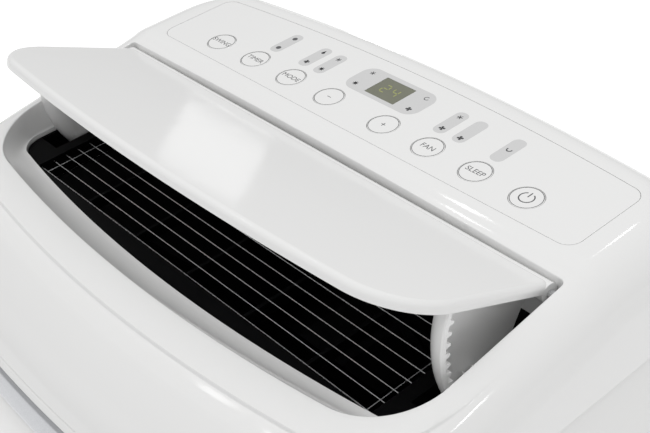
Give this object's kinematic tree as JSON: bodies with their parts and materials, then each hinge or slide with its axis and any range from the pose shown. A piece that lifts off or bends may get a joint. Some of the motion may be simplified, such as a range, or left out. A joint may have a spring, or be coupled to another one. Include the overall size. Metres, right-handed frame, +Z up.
{
  "type": "portable air conditioner",
  "caption": "Upright portable air conditioner on casters: swinging outlet flap over a wire-guarded top outlet, control panel with round keys, rear intakes, filters and hose collar.",
  "frame": {"origin": "middle of the footprint, on the floor under the casters", "axes": "+Z up, -Y towards the front panel, +X to the right seen from the front"},
  "size_m": [0.44, 0.34, 0.7463],
  "materials": {
    "white_gloss": "high gloss",
    "white_satin": "satin, fine grain",
    "silver": "silver metallic lacquer",
    "black_gloss": "gloss",
    "black_satin": "satin",
    "steel": "bright drawn",
    "aluminium": "mill",
    "copper": "bare copper tube",
    "black_paint": "semi gloss black paint",
    "rubber": "matte",
    "window": "smoked, gloss",
    "board": "lacquered circuit board"
  },
  "bodies": {
    "casing": {"top_cover": "white_gloss", "front_panel": "white_gloss", "control_overlay": "white_gloss", "trim_bead": "white_satin", "rear_shell": "white_satin", "base_pan": "white_satin", "grip_left": "white_satin", "grip_right": "white_satin", "exhaust_collar": "white_satin", "silver_trim": "silver", "outlet_frame": "black_gloss", "outlet_duct": "black_gloss", "blower_scroll": "black_satin", "condenser_scroll": "black_satin", "exhaust_duct": "black_satin", "drip_tray": "black_satin", "electrical_box": "black_satin", "hinge_pin_left": "steel", "hinge_pin_right": "steel", "swing_motor": "steel", "outlet_wires": "steel", "blower_motor": "steel", "condenser_motor": "steel", "evaporator_coil": "aluminium", "condenser_coil": "aluminium", "run_capacitor": "aluminium", "suction_pipe": "copper", "discharge_pipe": "copper", "compressor": "black_paint", "accumulator": "black_paint", "cord_gland": "rubber", "display_window": "window", "control_board": "board"},
    "flap": {"swing_flap": "white_gloss", "fin_left": "white_gloss", "fin_right": "white_gloss"},
    "pinion": {"swing_pinion": "white_satin"},
    "key_swing": {"key_swing": "white_gloss"},
    "key_timer": {"key_timer": "white_gloss"},
    "key_mode": {"key_mode": "white_gloss"},
    "key_minus": {"key_minus": "white_gloss"},
    "key_plus": {"key_plus": "white_gloss"},
    "key_fan": {"key_fan": "white_gloss"},
    "key_sleep": {"key_sleep": "white_gloss"},
    "key_power": {"key_power": "white_gloss"},
    "blower_wheel": {"blower_wheel": "black_satin"},
    "condenser_fan": {"condenser_fan": "black_satin"},
    "filter_upper": {"filter_upper": "black_satin"},
    "filter_lower": {"filter_lower": "black_satin"},
    "drain_plug_upper": {"drain_plug_upper": "rubber"},
    "drain_plug_lower": {"drain_plug_lower": "rubber"},
    "caster_fork_front_left": {"caster_fork_front_left": "black_satin"},
    "caster_wheel_front_left": {"caster_wheel_front_left": "black_satin"},
    "caster_fork_front_right": {"caster_fork_front_right": "black_satin"},
    "caster_wheel_front_right": {"caster_wheel_front_right": "black_satin"},
    "caster_fork_rear_left": {"caster_fork_rear_left": "black_satin"},
    "caster_wheel_rear_left": {"caster_wheel_rear_left": "black_satin"},
    "caster_fork_rear_right": {"caster_fork_rear_right": "black_satin"},
    "caster_wheel_rear_right": {"caster_wheel_rear_right": "black_satin"}
  },
  "joints": [
    {"name": "flap_hinge", "type": "hinge", "parent": "casing", "child": "flap", "pos_m": [0, 0.0487, 0.69], "axis": [-1, 0, 0], "range_deg": [-33, 12]},
    {"name": "pinion_spin", "type": "hinge", "parent": "casing", "child": "pinion", "pos_m": [0.185, -0.00045, 0.65558], "axis": [-1, 0, 0], "range_deg": [-240, 90]},
    {"name": "key_swing_press", "type": "slide", "parent": "casing", "child": "key_swing", "axis": [0, 0, -1], "range_m": [0, 0.0008], "stiffness_N_per_m": 900, "springref_m": -0.0004},
    {"name": "key_timer_press", "type": "slide", "parent": "casing", "child": "key_timer", "axis": [0, 0, -1], "range_m": [0, 0.0008], "stiffness_N_per_m": 900, "springref_m": -0.0004},
    {"name": "key_mode_press", "type": "slide", "parent": "casing", "child": "key_mode", "axis": [0, 0, -1], "range_m": [0, 0.0008], "stiffness_N_per_m": 900, "springref_m": -0.0004},
    {"name": "key_minus_press", "type": "slide", "parent": "casing", "child": "key_minus", "axis": [0, 0, -1], "range_m": [0, 0.0008], "stiffness_N_per_m": 900, "springref_m": -0.0004},
    {"name": "key_plus_press", "type": "slide", "parent": "casing", "child": "key_plus", "axis": [0, 0, -1], "range_m": [0, 0.0008], "stiffness_N_per_m": 900, "springref_m": -0.0004},
    {"name": "key_fan_press", "type": "slide", "parent": "casing", "child": "key_fan", "axis": [0, 0, -1], "range_m": [0, 0.0008], "stiffness_N_per_m": 900, "springref_m": -0.0004},
    {"name": "key_sleep_press", "type": "slide", "parent": "casing", "child": "key_sleep", "axis": [0, 0, -1], "range_m": [0, 0.0008], "stiffness_N_per_m": 900, "springref_m": -0.0004},
    {"name": "key_power_press", "type": "slide", "parent": "casing", "child": "key_power", "axis": [0, 0, -1], "range_m": [0, 0.0008], "stiffness_N_per_m": 900, "springref_m": -0.0004},
    {"name": "blower_spin", "type": "hinge", "parent": "casing", "child": "blower_wheel", "pos_m": [0, 0.05, 0.462], "axis": [0, 1, 0], "continuous": true},
    {"name": "condenser_fan_spin", "type": "hinge", "parent": "casing", "child": "condenser_fan", "pos_m": [0.096, 0.05, 0.19], "axis": [0, 1, 0], "continuous": true},
    {"name": "filter_upper_slide", "type": "slide", "parent": "casing", "child": "filter_upper", "axis": [1, 0, 0], "range_m": [0, 0.36]},
    {"name": "filter_lower_slide", "type": "slide", "parent": "casing", "child": "filter_lower", "axis": [1, 0, 0], "range_m": [0, 0.21]},
    {"name": "drain_plug_upper_pull", "type": "slide", "parent": "casing", "child": "drain_plug_upper", "axis": [0, 1, 0], "range_m": [0, 0.04]},
    {"name": "drain_plug_lower_pull", "type": "slide", "parent": "casing", "child": "drain_plug_lower", "axis": [0, 1, 0], "range_m": [0, 0.04]},
    {"name": "caster_front_left_swivel", "type": "hinge", "parent": "casing", "child": "caster_fork_front_left", "pos_m": [-0.165, -0.118, 0.04], "axis": [0, 0, 1], "continuous": true},
    {"name": "caster_front_left_roll", "type": "hinge", "parent": "caster_fork_front_left", "child": "caster_wheel_front_left", "pos_m": [-0.165, -0.109, 0.018], "axis": [1, 0, 0], "continuous": true},
    {"name": "caster_front_right_swivel", "type": "hinge", "parent": "casing", "child": "caster_fork_front_right", "pos_m": [0.165, -0.118, 0.04], "axis": [0, 0, 1], "continuous": true},
    {"name": "caster_front_right_roll", "type": "hinge", "parent": "caster_fork_front_right", "child": "caster_wheel_front_right", "pos_m": [0.165, -0.109, 0.018], "axis": [1, 0, 0], "continuous": true},
    {"name": "caster_rear_left_swivel", "type": "hinge", "parent": "casing", "child": "caster_fork_rear_left", "pos_m": [-0.165, 0.112, 0.04], "axis": [0, 0, 1], "continuous": true},
    {"name": "caster_rear_left_roll", "type": "hinge", "parent": "caster_fork_rear_left", "child": "caster_wheel_rear_left", "pos_m": [-0.165, 0.121, 0.018], "axis": [1, 0, 0], "continuous": true},
    {"name": "caster_rear_right_swivel", "type": "hinge", "parent": "casing", "child": "caster_fork_rear_right", "pos_m": [0.165, 0.112, 0.04], "axis": [0, 0, 1], "continuous": true},
    {"name": "caster_rear_right_roll", "type": "hinge", "parent": "caster_fork_rear_right", "child": "caster_wheel_rear_right", "pos_m": [0.165, 0.121, 0.018], "axis": [1, 0, 0], "continuous": true}
  ],
  "couplings": [
    {"joint": "pinion_spin", "follows": "flap_hinge", "ratio": 7}
  ]
}
